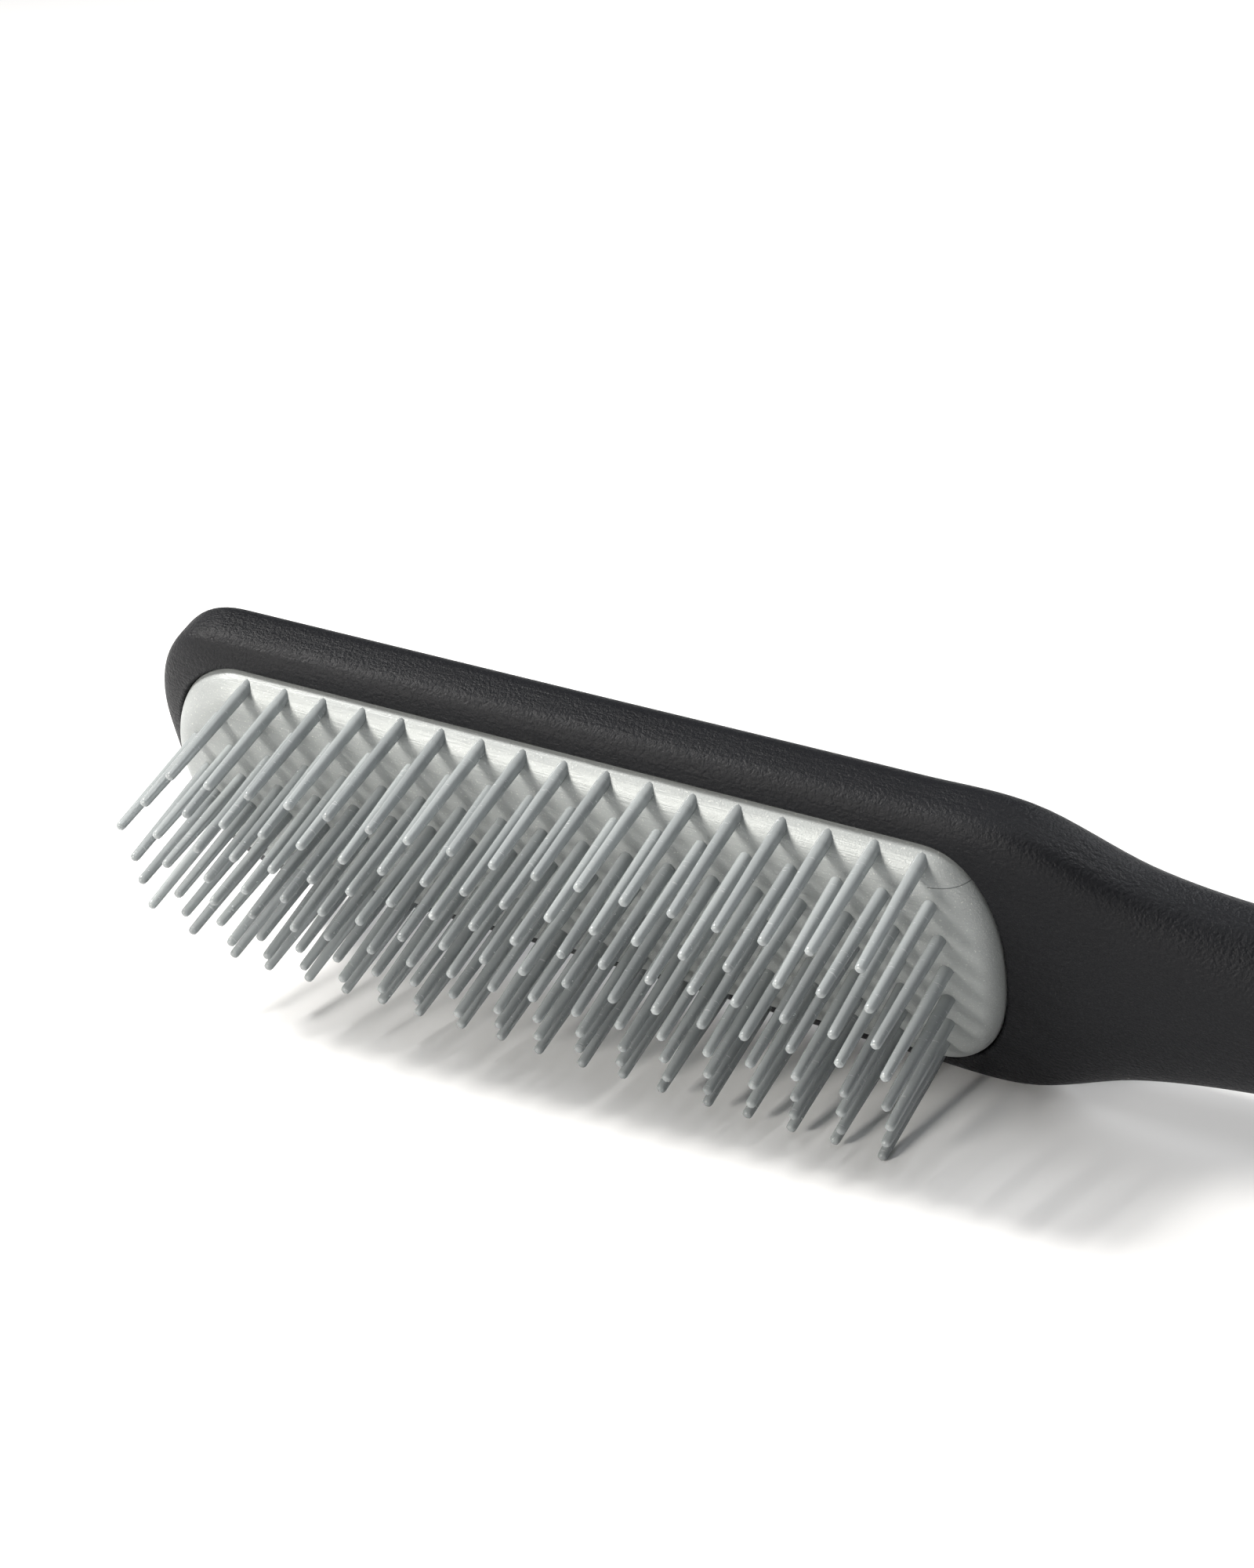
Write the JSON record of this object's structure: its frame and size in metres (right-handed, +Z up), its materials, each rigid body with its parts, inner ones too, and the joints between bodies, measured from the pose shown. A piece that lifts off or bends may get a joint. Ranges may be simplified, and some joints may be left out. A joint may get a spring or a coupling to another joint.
{
  "type": "pinned hair colour-blending brush",
  "caption": "Long-headed hair brush with rows of straight flexible pins through a domed grey pad, set in a soft-touch black head and handle.",
  "frame": {"origin": "centre of the footprint, on the bench that the brush lies on", "axes": "+X along the brush towards the butt of the handle, +Z up with the brush lying on its side, pins towards -Y and leaning down to the bench"},
  "size_m": [0.2228, 0.0328, 0.0427],
  "materials": {
    "soft_touch": "matt soft-touch elastomer",
    "core_plastic": "moulded polypropylene",
    "pearl_pad": "satin pearl grey elastomer",
    "pin_nylon": "smooth translucent grey nylon"
  },
  "bodies": {
    "root": {"soft_sleeve": "soft_touch", "handle_core": "core_plastic", "pin_pad": "pearl_pad", "pin_row_1": "pin_nylon", "pin_row_2": "pin_nylon", "pin_row_3": "pin_nylon", "pin_row_4": "pin_nylon", "pin_row_5": "pin_nylon", "pin_row_6": "pin_nylon", "pin_row_7": "pin_nylon", "pin_row_8": "pin_nylon"}
  },
  "joints": []
}
